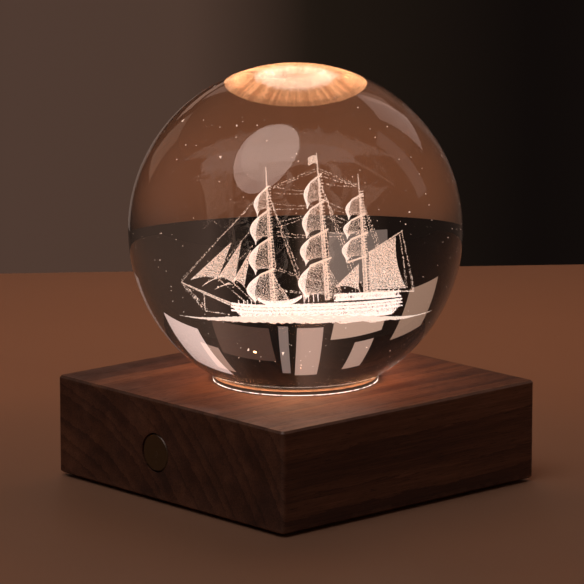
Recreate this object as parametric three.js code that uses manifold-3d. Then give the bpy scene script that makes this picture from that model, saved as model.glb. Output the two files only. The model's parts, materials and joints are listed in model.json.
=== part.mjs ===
// Rechargeable lamp: a solid glass ball that stands on a square wooden base and is lit from below.
// Millimetres, +Z up. The origin is on the surface that the feet stand on, under the middle of the
// base. The push button is in the -Y face, and the charging port is in the +Y face.
import * as THREE from "three";
import { mergeVertices } from "three/addons/utils/BufferGeometryUtils.js";
import Module from "manifold-3d";

const wasm = await Module();
wasm.setup();

// ---------- Driving dimensions ----------

const SEAT_GAP = 0.05; // between two pieces that rest on each other
const SCREW_SIDES = 14;
const STADIUM_FLAT = 0.01; // left between the two round corners of a slot's end

const base = {
  width: 81.2,
  height: 24,
  cornerRadius: 0.6,
  edgeChamfer: 0.5,
  wall: 9, // from the outside to the hollow
  roof: 8, // from the top face to the hollow
  screwLand: 13, // legs of the solid triangle left in each corner of the hollow
};

const ball = { radius: 40, flatRadius: 19.2, edgeBevel: 0.5 };

// The ring reaches a little past the edge of the ball's flat, and grips a band of it.
const seatRing = { overhang: 0.6, grip: 2, thickness: 1.6 };
const seatRecess = { depth: 0.75, clearance: 0.2 };

const lightWell = { depth: 4.2, ledge: 0.2 }; // the well is a little narrower than the ring's hole

const lightWindow = { radius: 8.8, thickness: 1.4 };
const cup = {
  rimWall: 0.8,
  windowClearance: 0.2,
  windowLedge: 0.6, // under the window's edge
  neckClearance: 0.3, // in the base
  throatClearance: 1.2, // round the chip
  flangeThickness: 1.5,
  screwMargin: 0.5, // between a screw's head and the neck or the flange's edge
};

const ledBoard = { thickness: 1.6 };
const ledChip = { radius: 4, height: 1 };
const ledScrew = { shaftRadius: 0.85, headRadius: 1.7, headHeight: 1.1, bite: 2.6 };

const cover = { thickness: 2, ledge: 2.5, clearance: 0.3, bossRadius: 2.4 };
const coverScrew = { shaftRadius: 1, headRadius: 2, headHeight: 1.1, bite: 8, edgeInset: 3.5 };

// The feet are set in from the base's side, and each is let into the cover.
const foot = { radius: 4.5, thickness: 1.3, edgeChamfer: 0.3, recess: 0.5, inset: 18 };

const button = {
  x: -4.4,
  height: 12, // of its axis above the standing surface
  radius: 4.5,
  flangeOverhang: 1.4, // past the cap's front part
  flangeThickness: 1,
  stemRadius: 2,
  boreClearance: 0.25,
  boreDepth: 4, // of the narrow front part of the bore
  setBack: 0.1, // of the cap's face behind the base's face
  edgeChamfer: 0.3,
  travel: 0.8,
};
const bush = { overhang: 0.3, clearance: 0.1, boreClearance: 0.3, thickness: 2.5 };

const tactSwitch = { width: 6.2, depth: 3.6, height: 6.7, axisHeight: 3.5, standOff: 4 };
const plunger = { radius: 1.7, length: 2.7, proud: 0.9, endGap: 0.2, clearance: 0.2 };

const board = { width: 21, thickness: 1.6, endGap: 0.5, switchEndGap: 2.5, screwInset: 2.5 };
const controlChip = { sizeX: 5, sizeY: 4, height: 1.5 };
const chargeChip = { sizeX: 5, sizeY: 6, height: 1.5 };
const inductor = { size: 6, height: 2.8 };
const boardScrew = { shaftRadius: 0.75, headRadius: 1.6, headHeight: 1.1, length: 5 };

const usb = {
  width: 8.94,
  height: 3.26,
  depth: 7.3,
  wall: 0.32,
  backWall: 0.8,
  reach: 1.5, // past the end of the board
  tongueWidth: 6.7,
  tongueThickness: 0.7,
  tongueLength: 5.4,
};
const usbTunnel = { width: 13, height: 7.6 };

const cell = { width: 21.5, length: 35, thickness: 7.5, edgeRadius: 2, gapToBoard: 2.4 };
const tape = { thickness: 0.4, inset: 1 };

const lead = {
  radius: 0.55,
  spacing: 1.9,
  straight: 1.5, // at each end, before it bends
  sag: 0.4,
  padInset: 1.5, // of the lamp board's pads from its edge
  cellInset: 6.5, // of the cell's tabs from its near side
  arcSteps: 4,
  steps: 16,
};
const socket = { width: 5, depth: 4.4, height: 3.4 };

const screwClearance = 0.25; // round a screw where it passes through a piece
const threadClearance = 0.08; // round a screw where it bites

// ---------- Sizes that follow ----------

const half = base.width / 2;
const footDrop = foot.thickness - foot.recess;
const baseBottom = footDrop;
const baseTop = baseBottom + base.height;
const hollowHalf = half - base.wall;
const roofZ = baseTop - base.roof;
const coverTop = baseBottom + cover.thickness;

const ringBottom = baseTop - seatRecess.depth + SEAT_GAP;
const ringTop = ringBottom + seatRing.thickness;
const ballFlatZ = ringTop + SEAT_GAP;
const ballFlatDrop = Math.sqrt(ball.radius ** 2 - ball.flatRadius ** 2);
const ballCentreZ = ballFlatZ + ballFlatDrop;

const ringOuterRadius = ball.flatRadius + seatRing.overhang;
const ringInnerRadius = ball.flatRadius - seatRing.grip;

const wellRadius = ringInnerRadius - lightWell.ledge;
const wellFloorZ = baseTop - lightWell.depth;
const rebateRadius = lightWindow.radius + cup.windowClearance;
const neckRadius = rebateRadius + cup.rimWall;
const lightHoleRadius = neckRadius + cup.neckClearance;
const mouthRadius = lightWindow.radius - cup.windowLedge;
const throatRadius = ledChip.radius + cup.throatClearance;
const ledScrewCircle = neckRadius + cup.screwMargin + ledScrew.headRadius;
const flangeRadius = ledScrewCircle + ledScrew.headRadius + cup.screwMargin;

const cupFlangeTop = roofZ - SEAT_GAP;
const cupBottom = cupFlangeTop - cup.flangeThickness;
const cupTop = wellFloorZ - SEAT_GAP;
const windowBottom = cupTop - lightWindow.thickness;
const ledBoardTop = cupBottom - SEAT_GAP;
const ledBoardBottom = ledBoardTop - ledBoard.thickness;

// The board stands where the switch's axis meets the button's.
const boardTop = button.height - tactSwitch.axisHeight - SEAT_GAP;
const boardBottom = boardTop - board.thickness;
const bossTop = boardBottom - SEAT_GAP;
const boardFrontY = -hollowHalf + board.switchEndGap;
const boardBackY = hollowHalf - board.endGap;
const boardLength = boardBackY - boardFrontY;
const boardMidY = (boardFrontY + boardBackY) / 2;

const shoulderY = -half + button.boreDepth;
const bushBackY = -hollowHalf - SEAT_GAP;
const buttonFlangeRadius = button.radius + button.flangeOverhang;
const bushRadius = buttonFlangeRadius + bush.overhang;
const switchFrontY = -hollowHalf + tactSwitch.standOff;
const plungerFrontY = switchFrontY - button.travel - plunger.proud;
const switchZ = boardTop + SEAT_GAP;

const usbMouthY = boardBackY + usb.reach;
const usbZ = boardTop + SEAT_GAP + usb.height / 2;

const cellBottom = coverTop + tape.thickness + 2 * SEAT_GAP;
const cellX = button.x + board.width / 2 + cell.gapToBoard + cell.width / 2;

// ---------- Materials ----------

function finish(color, roughness, metalness = 0) {
  return new THREE.MeshStandardMaterial({ color, roughness, metalness });
}

const walnut = finish(0x4a2a1c, 0.6);
const glass = new THREE.MeshStandardMaterial({
  color: 0xffffff,
  roughness: 0.02,
  metalness: 0,
  transparent: true,
  opacity: 0.35,
});
const clearRubber = finish(0xe8d8c8, 0.35);
const frosted = finish(0xfff0d8, 0.5);
const whitePlastic = finish(0xf0eee8, 0.4);
const blackPlastic = finish(0x181818, 0.55);
const brownPlastic = finish(0x3a2412, 0.5);
const boardGreen = finish(0x1f5a34, 0.45);
const boardWhite = finish(0xe8e8e4, 0.4);
const phosphor = finish(0xf2c23c, 0.5);
const steel = finish(0x9a9a9a, 0.35, 1);
const silverFoil = finish(0xb8bcc0, 0.4, 0.6);
const rubber = finish(0x1c1b1a, 0.85);
const foam = finish(0xd8d4c8, 0.9);
const redWire = finish(0xb02018, 0.5);
const blackWire = finish(0x141414, 0.5);

// ---------- Geometry helpers ----------

function solid(geometry) {
  const bare = geometry.index ? geometry.toNonIndexed() : geometry.clone();
  bare.deleteAttribute("normal");
  bare.deleteAttribute("uv");
  const merged = mergeVertices(bare, 1e-4);
  return new wasm.Manifold(
    new wasm.Mesh({
      numProp: 3,
      vertProperties: merged.attributes.position.array,
      triVerts: new Uint32Array(merged.index.array),
    }),
  );
}

function geometryOf(body) {
  const mesh = body.getMesh();
  const geometry = new THREE.BufferGeometry();
  geometry.setAttribute("position", new THREE.BufferAttribute(mesh.vertProperties, 3));
  geometry.setIndex(new THREE.BufferAttribute(mesh.triVerts, 1));
  return geometry;
}

function cut(geometry, tools) {
  return geometryOf(tools.reduce((body, tool) => body.subtract(solid(tool)), solid(geometry)));
}

function join(geometries) {
  return geometryOf(geometries.map(solid).reduce((sum, next) => sum.add(next)));
}

// A profile of [radius, z] points turned about Z; it runs upwards on the outside.
function turned(profile, sides = 48) {
  const points = profile.map(([radius, z]) => new THREE.Vector2(radius, z));
  return new THREE.LatheGeometry(points, sides).rotateX(Math.PI / 2);
}

function rod(radius, bottom, top, x = 0, y = 0, sides = 32) {
  const profile = [
    [0, bottom],
    [radius, bottom],
    [radius, top],
    [0, top],
  ];
  return turned(profile, sides).translate(x, y, 0);
}

// The same, lying along Y from one end to the other.
function rodAlongY(radius, frontY, backY, x, z, sides = 32) {
  return rod(radius, -backY, -frontY, 0, 0, sides).rotateX(Math.PI / 2).translate(x, 0, z);
}

function block(sizeX, sizeY, bottom, top, x = 0, y = 0) {
  return new THREE.BoxGeometry(sizeX, sizeY, top - bottom).translate(x, y, (bottom + top) / 2);
}

function roundedRectangle(sizeX, sizeY, radius) {
  const x = sizeX / 2 - radius;
  const y = sizeY / 2 - radius;
  const shape = new THREE.Shape();
  shape.absarc(x, y, radius, 0, Math.PI / 2);
  shape.absarc(-x, y, radius, Math.PI / 2, Math.PI);
  shape.absarc(-x, -y, radius, Math.PI, 1.5 * Math.PI);
  shape.absarc(x, -y, radius, 1.5 * Math.PI, 2 * Math.PI);
  return shape;
}

function prism(shape, bottom, top, curveSegments = 6) {
  const options = { depth: top - bottom, bevelEnabled: false, curveSegments };
  return new THREE.ExtrudeGeometry(shape, options).translate(0, 0, bottom);
}

// A rounded slab lying along Y, with its section in X and Z.
function slotAlongY(sizeX, sizeZ, radius, frontY, backY, x, z) {
  const shape = roundedRectangle(sizeX, sizeZ, radius);
  return prism(shape, -backY, -frontY, 8).rotateX(Math.PI / 2).translate(x, 0, z);
}

function corners(offset) {
  return [
    [offset, offset],
    [-offset, offset],
    [-offset, -offset],
    [offset, -offset],
  ];
}

const coverScrewPlaces = corners(hollowHalf - coverScrew.edgeInset);
const footPlaces = corners(half - foot.inset);
const boardScrewPlaces = [-1, 1].flatMap((side) =>
  [boardFrontY + board.screwInset, boardBackY - board.screwInset].map((y) => [
    button.x + side * (board.width / 2 - board.screwInset),
    y,
  ]),
);
// The tall parts keep clear of the lamp board above.
const ledSocketPlace = { x: button.x - 6.2, y: boardBackY - 10.5 };
const batterySocketPlace = { x: button.x + 7.6, y: -cell.length / 2 - 3 };
const controlChipPlace = { x: button.x - 5, y: boardFrontY + 13 };
const chargeChipPlace = { x: button.x + 4, y: boardBackY - 13 };
const inductorPlace = { x: button.x + 1, y: boardMidY - 3 };
const ledScrewPlaces = [
  [0, ledScrewCircle],
  [0, -ledScrewCircle],
];

// ---------- The glass ball ----------

function crystalBall() {
  const profile = [[0, ballFlatZ]];
  profile.push([ball.flatRadius - ball.edgeBevel, ballFlatZ]);
  const startAngle = -Math.acos((ball.flatRadius + ball.edgeBevel / 2) / ball.radius);
  const lowerSteps = 11;
  const upperSteps = 15;
  for (let i = 0; i <= lowerSteps; i++) {
    const angle = startAngle * (1 - i / lowerSteps);
    profile.push([ball.radius * Math.cos(angle), ballCentreZ + ball.radius * Math.sin(angle)]);
  }
  for (let i = 1; i < upperSteps; i++) {
    const angle = (i / upperSteps) * (Math.PI / 2);
    profile.push([ball.radius * Math.cos(angle), ballCentreZ + ball.radius * Math.sin(angle)]);
  }
  profile.push([0, ballCentreZ + ball.radius]);
  return turned(profile, 64);
}

function seatRingShape() {
  return turned(
    [
      [ringInnerRadius, ringBottom],
      [ringOuterRadius, ringBottom],
      [ringOuterRadius, ringTop],
      [ringInnerRadius, ringTop],
      [ringInnerRadius, ringBottom],
    ],
    64,
  );
}

// ---------- The wooden base ----------

function blankBlock() {
  const chamfer = base.edgeChamfer;
  const size = base.width - 2 * chamfer;
  const blank = new THREE.ExtrudeGeometry(roundedRectangle(size, size, base.cornerRadius), {
    depth: base.height - 2 * chamfer,
    bevelThickness: chamfer,
    bevelSize: chamfer,
    bevelSegments: 1,
    curveSegments: 3,
  });
  return blank.translate(0, 0, baseBottom + chamfer);
}

function hollowShape() {
  const side = hollowHalf;
  const land = hollowHalf - base.screwLand;
  const shape = new THREE.Shape();
  shape.moveTo(side, -land);
  shape.lineTo(side, land);
  shape.lineTo(land, side);
  shape.lineTo(-land, side);
  shape.lineTo(-side, land);
  shape.lineTo(-side, -land);
  shape.lineTo(-land, -side);
  shape.lineTo(land, -side);
  return shape;
}

function baseBlock() {
  const below = baseBottom - 1;
  const coverRoom = 2 * (hollowHalf + cover.ledge);
  const tunnelRadius = usbTunnel.height / 2 - STADIUM_FLAT;
  const pilot = coverScrew.shaftRadius + threadClearance;
  const ledPilot = ledScrew.shaftRadius + threadClearance;
  return cut(blankBlock(), [
    rod(ringOuterRadius + seatRecess.clearance, baseTop - seatRecess.depth, baseTop + 1, 0, 0, 64),
    rod(wellRadius, wellFloorZ, baseTop + 1, 0, 0, 64),
    rod(lightHoleRadius, roofZ - 1, wellFloorZ + 1, 0, 0, 48),
    prism(hollowShape(), below, roofZ),
    block(coverRoom, coverRoom, below, coverTop + SEAT_GAP),
    rodAlongY(button.radius + button.boreClearance, -half - 1, shoulderY, button.x, button.height, 48),
    rodAlongY(bushRadius + bush.clearance, shoulderY, 1 - hollowHalf, button.x, button.height, 48),
    slotAlongY(usbTunnel.width, usbTunnel.height, tunnelRadius, hollowHalf - 1, half + 1, button.x, usbZ),
    ...coverScrewPlaces.map(([x, y]) =>
      rod(pilot, coverTop - 1, coverTop + coverScrew.bite + 0.5, x, y, 16),
    ),
    ...ledScrewPlaces.map(([x, y]) => rod(ledPilot, roofZ - 1, roofZ + ledScrew.bite + 0.4, x, y, 16)),
  ]);
}

// ---------- The light under the ball ----------

function reflectorCup() {
  const shell = turned([
    [throatRadius, cupBottom],
    [flangeRadius, cupBottom],
    [flangeRadius, cupFlangeTop],
    [neckRadius, cupFlangeTop],
    [neckRadius, cupTop],
    [rebateRadius, cupTop],
    [rebateRadius, windowBottom - SEAT_GAP],
    [mouthRadius, windowBottom - SEAT_GAP],
    [throatRadius, cupBottom],
  ]);
  const hole = ledScrew.shaftRadius + screwClearance;
  return cut(
    shell,
    ledScrewPlaces.map(([x, y]) => rod(hole, cupBottom - 1, cupFlangeTop + 1, x, y, 16)),
  );
}

function ledBoardShape() {
  const hole = ledScrew.shaftRadius + screwClearance;
  return cut(
    rod(flangeRadius, ledBoardBottom, ledBoardTop, 0, 0, 48),
    ledScrewPlaces.map(([x, y]) => rod(hole, ledBoardBottom - 1, ledBoardTop + 1, x, y, 16)),
  );
}

// A screw whose head is below its shaft, as it is driven upwards.
function screwUp({ shaftRadius, headRadius, headHeight }, headTop, tip, x, y) {
  return turned(
    [
      [0, headTop - headHeight],
      [headRadius * 0.8, headTop - headHeight],
      [headRadius, headTop - headHeight * 0.6],
      [headRadius, headTop],
      [shaftRadius, headTop],
      [shaftRadius, tip - shaftRadius],
      [0, tip],
    ],
    SCREW_SIDES,
  ).translate(x, y, 0);
}

function screwDown({ shaftRadius, headRadius, headHeight }, headBottom, tip, x, y) {
  return turned(
    [
      [0, tip],
      [shaftRadius, tip + shaftRadius],
      [shaftRadius, headBottom],
      [headRadius, headBottom],
      [headRadius, headBottom + headHeight * 0.6],
      [headRadius * 0.8, headBottom + headHeight],
      [0, headBottom + headHeight],
    ],
    SCREW_SIDES,
  ).translate(x, y, 0);
}

// ---------- The push button and its switch ----------

// Profile from the front face to the back, as [radius, distance behind the base's face].
function turnedAlongY(profile, sides = 40) {
  const upwards = [...profile].reverse().map(([radius, depth]) => [radius, -depth]);
  return turned(upwards, sides).rotateX(Math.PI / 2).translate(button.x, -half, button.height);
}

function buttonCap() {
  const flangeFront = button.boreDepth + 0.1;
  const flangeBack = flangeFront + button.flangeThickness;
  const stemEnd = plungerFrontY + half - SEAT_GAP;
  return turnedAlongY([
    [0, button.setBack],
    [button.radius - button.edgeChamfer, button.setBack],
    [button.radius, button.setBack + button.edgeChamfer],
    [button.radius, flangeFront],
    [buttonFlangeRadius, flangeFront],
    [buttonFlangeRadius, flangeBack],
    [button.stemRadius, flangeBack],
    [button.stemRadius, stemEnd],
    [0, stemEnd],
  ]);
}

function buttonBush() {
  const back = bushBackY + half;
  const front = back - bush.thickness;
  const bore = button.stemRadius + bush.boreClearance;
  return turnedAlongY([
    [bushRadius, front],
    [bushRadius, back],
    [bore, back],
    [bore, front],
    [bushRadius, front],
  ]);
}

function switchBody() {
  const body = block(
    tactSwitch.width,
    tactSwitch.depth,
    switchZ,
    switchZ + tactSwitch.height,
    button.x,
    switchFrontY + tactSwitch.depth / 2,
  );
  const holeDepth = plunger.length - plunger.proud + plunger.endGap;
  return cut(body, [
    rodAlongY(
      plunger.radius + plunger.clearance,
      switchFrontY - 1,
      switchFrontY + holeDepth,
      button.x,
      button.height,
      24,
    ),
  ]);
}

function switchPlunger() {
  return rodAlongY(
    plunger.radius,
    plungerFrontY,
    plungerFrontY + plunger.length,
    button.x,
    button.height,
    24,
  );
}

// ---------- The control board and what is soldered to it ----------

function controlBoard() {
  const hole = boardScrew.shaftRadius + screwClearance;
  return cut(
    block(board.width, boardLength, boardBottom, boardTop, button.x, boardMidY),
    boardScrewPlaces.map(([x, y]) => rod(hole, boardBottom - 1, boardTop + 1, x, y, 16)),
  );
}

function onBoard(sizeX, sizeY, height, { x, y }) {
  return block(sizeX, sizeY, boardTop + SEAT_GAP, boardTop + SEAT_GAP + height, x, y);
}

function usbShell() {
  const radius = usb.height / 2 - STADIUM_FLAT;
  const outer = slotAlongY(
    usb.width,
    usb.height,
    radius,
    usbMouthY - usb.depth,
    usbMouthY,
    button.x,
    usbZ,
  );
  const inner = slotAlongY(
    usb.width - 2 * usb.wall,
    usb.height - 2 * usb.wall,
    radius - usb.wall,
    usbMouthY - usb.depth + usb.backWall,
    usbMouthY + 1,
    button.x,
    usbZ,
  );
  return cut(outer, [inner]);
}

function usbTongue() {
  const backY = usbMouthY - usb.depth + usb.backWall + SEAT_GAP;
  return block(
    usb.tongueWidth,
    usb.tongueLength,
    usbZ - usb.tongueThickness / 2,
    usbZ + usb.tongueThickness / 2,
    button.x,
    backY + usb.tongueLength / 2,
  );
}

// ---------- The cell and the leads ----------

function batteryCell() {
  return prism(
    roundedRectangle(cell.width, cell.length, cell.edgeRadius),
    cellBottom,
    cellBottom + cell.thickness,
  ).translate(cellX, 0, 0);
}

function batteryTape() {
  return block(
    cell.width - 2 * tape.inset,
    cell.length - 2 * tape.inset,
    coverTop + SEAT_GAP,
    coverTop + SEAT_GAP + tape.thickness,
    cellX,
    0,
  );
}

function leadAlong(points) {
  const path = new THREE.CatmullRomCurve3(points.map(([x, y, z]) => new THREE.Vector3(x, y, z)));
  const section = new THREE.Shape().absarc(0, 0, lead.radius, 0, 2 * Math.PI);
  return new THREE.ExtrudeGeometry(section, {
    steps: lead.steps,
    curveSegments: lead.arcSteps,
    bevelEnabled: false,
    extrudePath: path,
  });
}

const socketZ = boardTop + SEAT_GAP + socket.height / 2;

function ledLead(side) {
  const x = ledSocketPlace.x + (side * lead.spacing) / 2;
  const y = ledSocketPlace.y - socket.depth / 2 - SEAT_GAP;
  const padX = x + lead.spacing / 2;
  const padY = Math.sqrt((flangeRadius - lead.padInset) ** 2 - ledSocketPlace.x ** 2);
  const top = ledBoardBottom - SEAT_GAP;
  return leadAlong([
    [x, y, socketZ],
    [x, y - lead.straight, socketZ],
    [(x + padX) / 2, (y + padY) / 2, (socketZ + top) / 2 - lead.sag],
    [padX, padY, top - lead.straight],
    [padX, padY, top],
  ]);
}

function batteryLead(side) {
  const offset = (side * lead.spacing) / 2;
  const x = batterySocketPlace.x + socket.width / 2 + SEAT_GAP;
  const y = batterySocketPlace.y + offset;
  const tabX = cellX - cell.width / 2 + lead.cellInset - offset;
  const tabY = -cell.length / 2 - SEAT_GAP;
  const tabZ = cellBottom + cell.thickness / 2;
  return leadAlong([
    [x, y, socketZ],
    [x + lead.straight, y, socketZ],
    [(x + tabX) / 2, y - lead.sag, (socketZ + tabZ) / 2],
    [tabX - lead.straight, y, tabZ],
    [tabX, tabY - lead.straight, tabZ],
    [tabX, tabY, tabZ],
  ]);
}

// ---------- The underside ----------

function bottomCover() {
  const size = 2 * (hollowHalf + cover.ledge - cover.clearance);
  const plate = block(size, size, baseBottom, coverTop);
  const bosses = boardScrewPlaces.map(([x, y]) =>
    rod(cover.bossRadius, coverTop - 0.5, bossTop, x, y, 24),
  );
  const screwHole = coverScrew.shaftRadius + screwClearance;
  const headHole = coverScrew.headRadius + screwClearance;
  const headRoom = coverScrew.headHeight + 2 * SEAT_GAP;
  const bossPilot = boardScrew.shaftRadius + threadClearance;
  return cut(join([plate, ...bosses]), [
    ...coverScrewPlaces.map(([x, y]) => rod(screwHole, baseBottom - 1, coverTop + 1, x, y, 24)),
    ...coverScrewPlaces.map(([x, y]) => rod(headHole, baseBottom - 1, baseBottom + headRoom, x, y, 24)),
    ...footPlaces.map(([x, y]) =>
      rod(foot.radius + screwClearance, baseBottom - 1, baseBottom + foot.recess, x, y),
    ),
    ...boardScrewPlaces.map(([x, y]) => rod(bossPilot, coverTop + 0.3, boardBottom + 1, x, y, 16)),
  ]);
}

function footShape(x, y) {
  const top = foot.thickness - SEAT_GAP;
  return turned(
    [
      [0, 0],
      [foot.radius - foot.edgeChamfer, 0],
      [foot.radius, foot.edgeChamfer],
      [foot.radius, top],
      [0, top],
    ],
    28,
  ).translate(x, y, 0);
}

// ---------- Assembly ----------

const lamp = new THREE.Group();

function add(name, geometry, material) {
  const mesh = new THREE.Mesh(geometry, material);
  mesh.name = name;
  lamp.add(mesh);
}

add("crystal_ball", crystalBall(), glass);
add("seat_ring", seatRingShape(), clearRubber);
add("base_block", baseBlock(), walnut);

add("light_window", rod(lightWindow.radius, windowBottom, cupTop - SEAT_GAP, 0, 0, 48), frosted);
add("reflector_cup", reflectorCup(), whitePlastic);
add("led_board", ledBoardShape(), boardWhite);
add(
  "led_chip",
  rod(ledChip.radius, ledBoardTop + SEAT_GAP, ledBoardTop + SEAT_GAP + ledChip.height),
  phosphor,
);
ledScrewPlaces.forEach(([x, y], i) => {
  const screw = screwUp(ledScrew, ledBoardBottom - SEAT_GAP, roofZ + ledScrew.bite, x, y);
  add(`led_screw_${i + 1}`, screw, steel);
});

add("button_cap", buttonCap(), brownPlastic);
add("button_bush", buttonBush(), blackPlastic);
add("switch_body", switchBody(), blackPlastic);
add("switch_plunger", switchPlunger(), blackPlastic);

add("control_board", controlBoard(), boardGreen);
add("usb_shell", usbShell(), steel);
add("usb_tongue", usbTongue(), blackPlastic);
[
  ["control_chip", controlChip, controlChipPlace],
  ["charge_chip", chargeChip, chargeChipPlace],
].forEach(([name, { sizeX, sizeY, height }, place]) => {
  add(name, onBoard(sizeX, sizeY, height, place), blackPlastic);
});
add("inductor", onBoard(inductor.size, inductor.size, inductor.height, inductorPlace), blackPlastic);
[
  ["led_socket", ledSocketPlace],
  ["battery_socket", batterySocketPlace],
].forEach(([name, place]) => {
  add(name, onBoard(socket.width, socket.depth, socket.height, place), whitePlastic);
});
boardScrewPlaces.forEach(([x, y], i) => {
  const headBottom = boardTop + SEAT_GAP;
  const screw = screwDown(boardScrew, headBottom, headBottom - boardScrew.length, x, y);
  add(`board_screw_${i + 1}`, screw, steel);
});

add("battery_cell", batteryCell(), silverFoil);
add("battery_tape", batteryTape(), foam);
[
  ["red", 1, redWire],
  ["black", -1, blackWire],
].forEach(([colour, side, material]) => {
  add(`led_lead_${colour}`, ledLead(side), material);
  add(`battery_lead_${colour}`, batteryLead(side), material);
});

add("bottom_cover", bottomCover(), blackPlastic);
coverScrewPlaces.forEach(([x, y], i) => {
  const headTop = baseBottom + coverScrew.headHeight + SEAT_GAP;
  add(`cover_screw_${i + 1}`, screwUp(coverScrew, headTop, coverTop + coverScrew.bite, x, y), steel);
});
footPlaces.forEach(([x, y], i) => {
  add(`foot_${i + 1}`, footShape(x, y), rubber);
});

export default lamp;
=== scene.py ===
"""Looks for a glass ball lamp: a clear ball with a ship lasered inside it, lit from a walnut base.

Lengths are metres. The engraving is drawn in millimetres, in the ship's own frame (x runs aft,
y across, z up, from the ball's centre), and is scaled and turned into the ball at the end.
"""

import json
import math

import bmesh
import bpy
from mathutils import Matrix, Vector


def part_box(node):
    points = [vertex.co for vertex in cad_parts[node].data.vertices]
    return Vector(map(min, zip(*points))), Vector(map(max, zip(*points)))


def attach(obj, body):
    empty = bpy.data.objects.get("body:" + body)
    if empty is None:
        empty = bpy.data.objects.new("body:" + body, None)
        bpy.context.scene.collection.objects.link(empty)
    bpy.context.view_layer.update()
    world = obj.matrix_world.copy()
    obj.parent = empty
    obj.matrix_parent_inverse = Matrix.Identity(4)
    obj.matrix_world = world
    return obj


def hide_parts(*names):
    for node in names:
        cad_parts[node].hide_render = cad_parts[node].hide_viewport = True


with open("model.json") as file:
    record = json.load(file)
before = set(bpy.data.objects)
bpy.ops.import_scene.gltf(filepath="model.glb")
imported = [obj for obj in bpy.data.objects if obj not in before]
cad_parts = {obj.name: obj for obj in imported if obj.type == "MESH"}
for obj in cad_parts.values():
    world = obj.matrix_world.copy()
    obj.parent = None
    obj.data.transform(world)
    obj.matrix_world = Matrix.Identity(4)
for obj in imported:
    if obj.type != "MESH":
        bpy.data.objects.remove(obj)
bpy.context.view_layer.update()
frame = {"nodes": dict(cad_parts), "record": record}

MM = 0.001
FULL_TURN = 2 * math.pi

# Where the pieces are, from the frame
BALL_LOW, BALL_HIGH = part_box("crystal_ball")
BASE_LOW, BASE_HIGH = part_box("base_block")
WINDOW_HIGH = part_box("light_window")[1]
BALL_RADIUS = (BALL_HIGH.x - BALL_LOW.x) / 2
BALL_CENTRE = Vector((0, 0, BALL_HIGH.z - BALL_RADIUS))
SEAT_HEIGHT = BALL_LOW.z
FLAT_RADIUS = math.sqrt(BALL_RADIUS**2 - (BALL_CENTRE.z - SEAT_HEIGHT) ** 2)

# Camera
CAMERA_AZIMUTH = 47.92
CAMERA_ELEVATION = 11.39
CAMERA_DISTANCE = 0.958
CAMERA_LENS = 246.6
SENSOR_WIDTH = 36.0
CAMERA_AIM_HEIGHT = 0.04576
CAMERA_AIM_ASIDE = -0.00086

# Studio
FLOOR_WIDTH = 1.8
FLOOR_DEPTH = 1.2
FLOOR_THICKNESS = 0.02
FLOOR_EDGE_BEHIND = 0.262
FLOOR_EDGE_AZIMUTH = 232.6
FLOOR_COLOUR = (0.48, 0.28, 0.19)
LAMP_WARM = (1.0, 0.44, 0.18)
SOFT_WHITE = (1.0, 0.80, 0.66)
PANEL_DISTANCE = 1.3
WASH_SIZE = (0.40, 0.16)
WASH_POWER = 0.16
WASH_BEHIND = 0.17
WASH_HEIGHT = 0.20

# Dim panels that only show in the glass: name, azimuth, elevation, spread across and up in degrees,
# brightness, colour and shape
GLASS_PANELS = (
    ("window_panel", 11, 58, 36, 52, 2.8, (1.0, 0.74, 0.66), "ELLIPSE"),
    ("back_panel", 231.5, 25, 6.5, 23, 0.48, (1.0, 0.62, 0.49)),
    ("strip_panel", 224.8, 24, 2.4, 22, 0.24, (1.0, 0.70, 0.60)),
    ("low_side_panel", 245, 15.5, 15, 6, 0.52, (1.0, 0.62, 0.46)),
    ("side_panel", 248, 28, 6, 14, 0.45, (1.0, 0.62, 0.48)),
    ("far_side_panel", 268, 16, 16, 18, 0.33, (1.0, 0.60, 0.42)),
    ("left_panel", 188, 32, 18, 24, 0.85, (1.0, 0.70, 0.62)),
    ("low_left_panel", 199, 33, 7, 14, 0.42, (1.0, 0.60, 0.46)),
    ("brown_panel", 213, 21, 16, 14, 0.075, (1.0, 0.50, 0.36)),
    ("far_left_panel", 152, 30, 12, 34, 0.46, (1.0, 0.74, 0.66)),
    ("grey_panel", 242.5, -4, 15, 12, 0.17, (1.0, 0.72, 0.60)),
    ("small_lamp", 216, 24, 0.9, 0.9, 7.0, (1.0, 0.52, 0.22), "ELLIPSE"),
)

# The room's brightness from the camera's left to its right
ROOM_TONES = (
    (0.10, (0.008, 0.005, 0.004)),
    (0.30, (0.030, 0.018, 0.013)),
    (0.43, (0.078, 0.044, 0.032)),
    (0.474, (0.074, 0.042, 0.030)),
    (0.505, (0.014, 0.009, 0.006)),
    (0.56, (0.005, 0.0033, 0.0028)),
    (0.72, (0.012, 0.008, 0.006)),
    (0.86, (0.060, 0.036, 0.027)),
    (1.00, (0.050, 0.030, 0.022)),
)

# Surface colours, and the painted glow colours of the ring and the ground flat
SCRATCH_COLOUR = (0.60, 0.58, 0.55)
PORE_COLOUR = (0.022, 0.010, 0.007)
PALE_WOOD = (0.30, 0.17, 0.11)
# The RING_ and FLAT_ colours are painted glow: the lamp's light painted into the ring and the ground flat.
RING_DIM = (0.02, 0.012, 0.008)
RING_BRIGHT = (1.0, 0.74, 0.62)
FLAT_RAY_DARK = (0.42, 0.13, 0.045)
FLAT_RAY_LIGHT = (0.85, 0.37, 0.165)
FLAT_DISC_DARK = (0.92, 0.60, 0.42)
FLAT_DISC_LIGHT = (1.0, 0.80, 0.66)
WALNUT_TONES = [
    (0.0, (0.036, 0.014, 0.011)),
    (0.35, (0.084, 0.034, 0.023)),
    (0.65, (0.150, 0.066, 0.040)),
    (1.0, (0.260, 0.125, 0.075)),
]

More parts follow.
